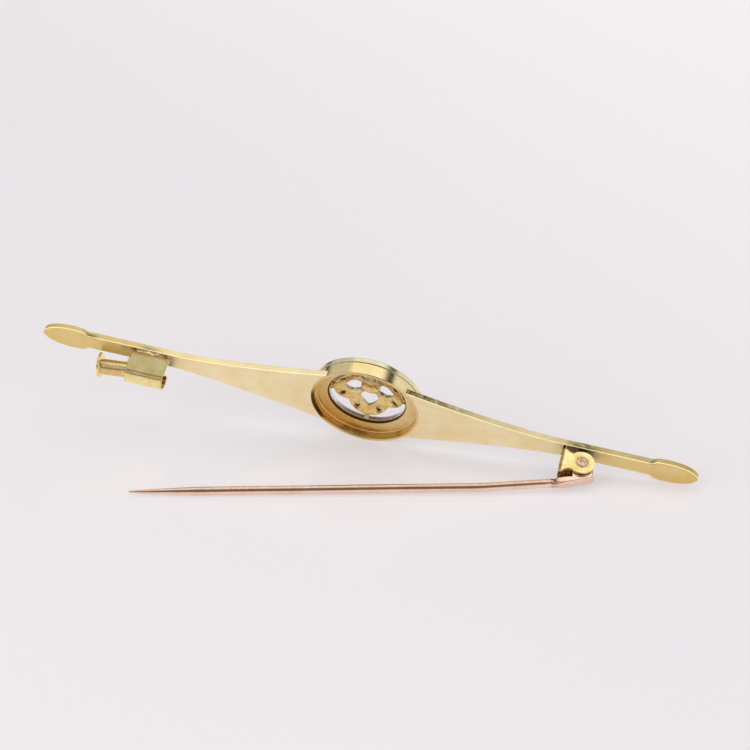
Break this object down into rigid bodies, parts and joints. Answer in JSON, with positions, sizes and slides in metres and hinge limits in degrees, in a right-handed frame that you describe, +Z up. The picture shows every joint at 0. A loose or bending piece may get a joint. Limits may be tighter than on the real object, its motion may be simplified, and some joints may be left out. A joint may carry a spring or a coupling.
{
  "type": "bar brooch",
  "caption": "Antique bar brooch with a round pierced medallion set with stones, spoon-shaped ends, a hinged pin and a sliding tube catch, resting on its open pin.",
  "frame": {"origin": "middle of the bottom of the resting brooch's box, on the surface it lies on", "axes": "+X along the bar towards the hinge, +Z up from the surface, +Y away from the side where the open pin's point lies"},
  "size_m": [0.0656, 0.0183, 0.0106],
  "materials": {
    "yellow_gold": "worn soft polish, paler and brushed on the flat back",
    "pierced_gold": "cast, dull in the hollows and bright on the edges",
    "rose_gold": "drawn wire, polished",
    "white_metal": "soft polish",
    "stone": "facet cut and polished"
  },
  "bodies": {
    "root": {"gold_frame": "yellow_gold", "front_ring": "white_metal", "openwork": "pierced_gold", "centre_collet": "white_metal", "centre_stone": "stone", "lobe_stone_1": "stone", "lobe_stone_2": "stone", "lobe_stone_3": "stone", "lobe_stone_4": "stone", "lobe_stone_5": "stone", "lobe_stone_6": "stone", "lobe_stone_7": "stone", "lobe_stone_8": "stone", "hinge_rivet": "rose_gold"},
    "pin_body": {"pin": "rose_gold"},
    "slider": {"catch_slider": "yellow_gold"}
  },
  "joints": [
    {"name": "pin_hinge", "type": "hinge", "parent": "root", "child": "pin_body", "pos_m": [0.0216, 0.0037, 0.00166], "axis": [0.1085, -0.4415, 0.8907], "range_deg": [-19, 70]},
    {"name": "slider_slide", "type": "slide", "parent": "root", "child": "slider", "axis": [0.9927, 0, -0.1209], "range_m": [0, 0.0025]}
  ]
}
